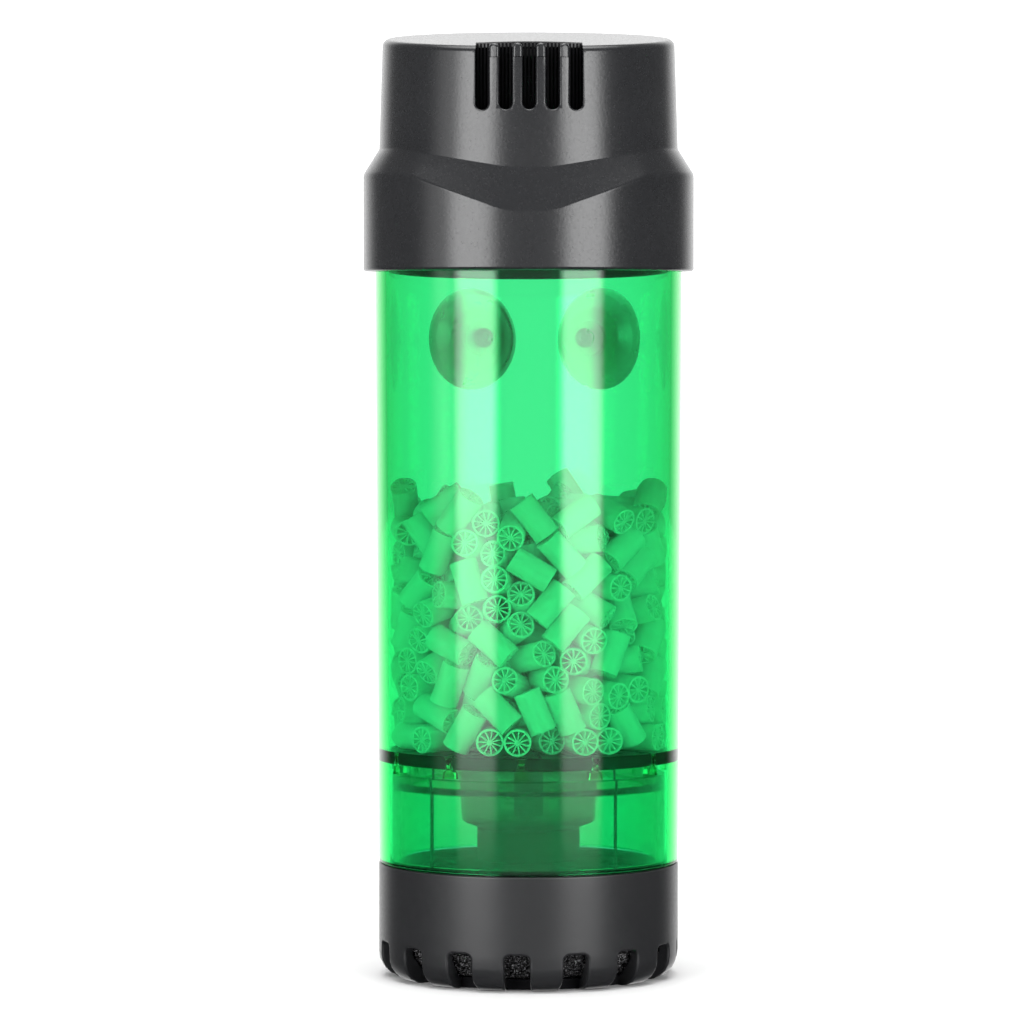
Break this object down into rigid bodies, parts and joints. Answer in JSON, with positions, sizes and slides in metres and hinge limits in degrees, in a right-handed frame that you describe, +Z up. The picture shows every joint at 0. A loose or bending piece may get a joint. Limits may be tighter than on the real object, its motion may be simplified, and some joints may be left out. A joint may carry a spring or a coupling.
{
  "type": "aquarium moving-bed filter",
  "caption": "Upright aquarium filter: slatted black head, clear green tube with loose wheel media, notched divider, slotted black base with sponge, two suction cups behind.",
  "frame": {"origin": "centre of the base's underside, on the surface it stands on", "axes": "+Z up along the tube; -Y is the front, with the outlet slots; the suction cups and the air inlet are at +Y"},
  "size_m": [0.0654, 0.0737, 0.1898],
  "materials": {
    "black_plastic": "satin, fine spark texture",
    "inner_plastic": "plain moulded",
    "smoke_plastic": "clear smoke grey",
    "green_tube": "clear green, polished",
    "media_plastic": "plain moulded, off-white",
    "black_sponge": "open-cell foam",
    "black_rubber": "smooth",
    "clear_rubber": "smooth",
    "porous_stone": "sintered grains"
  },
  "bodies": {
    "base": {"base_shell": "black_plastic", "intake_sponge": "black_sponge", "base_deck": "inner_plastic", "air_barb": "black_plastic", "barb_grommet": "black_rubber", "air_pipe": "inner_plastic", "diffuser_stem": "inner_plastic", "diffuser_cup": "smoke_plastic", "air_stone": "porous_stone"},
    "base_seal": {"base_gasket": "black_rubber"},
    "column": {"tube": "green_tube", "divider_plate": "inner_plastic", "chamber_sleeve": "smoke_plastic", "media_bed": "media_plastic", "media_wheel_01": "media_plastic", "media_wheel_02": "media_plastic", "media_wheel_03": "media_plastic", "media_wheel_04": "media_plastic", "media_wheel_05": "media_plastic", "media_wheel_06": "media_plastic", "media_wheel_07": "media_plastic", "media_wheel_08": "media_plastic", "media_wheel_09": "media_plastic", "media_wheel_10": "media_plastic"},
    "cup_left": {"suction_cup_left": "clear_rubber"},
    "cup_right": {"suction_cup_right": "clear_rubber"},
    "head_seal": {"head_gasket": "black_rubber"},
    "head": {"head_shell": "black_plastic", "head_collar": "inner_plastic", "outlet_screen": "inner_plastic"}
  },
  "joints": [
    {"name": "tube_turn", "type": "hinge", "parent": "base", "child": "base_seal", "pos_m": [0, 0, 0.018], "axis": [0, 0, 1], "continuous": true},
    {"name": "tube_lift", "type": "slide", "parent": "base_seal", "child": "column", "axis": [0, 0, 1], "range_m": [0, 0.03]},
    {"name": "head_turn", "type": "hinge", "parent": "column", "child": "head_seal", "pos_m": [0, 0, 0.148], "axis": [0, 0, 1], "continuous": true},
    {"name": "head_lift", "type": "slide", "parent": "head_seal", "child": "head", "axis": [0, 0, 1], "range_m": [0, 0.045]},
    {"name": "cup_left_turn", "type": "hinge", "parent": "column", "child": "cup_left", "pos_m": [-0.01001, 0.02828, 0.127], "axis": [-0.3338, 0.9426, 0], "continuous": true},
    {"name": "cup_right_turn", "type": "hinge", "parent": "column", "child": "cup_right", "pos_m": [0.01292, 0.02708, 0.127], "axis": [0.4305, 0.9026, 0], "continuous": true}
  ]
}
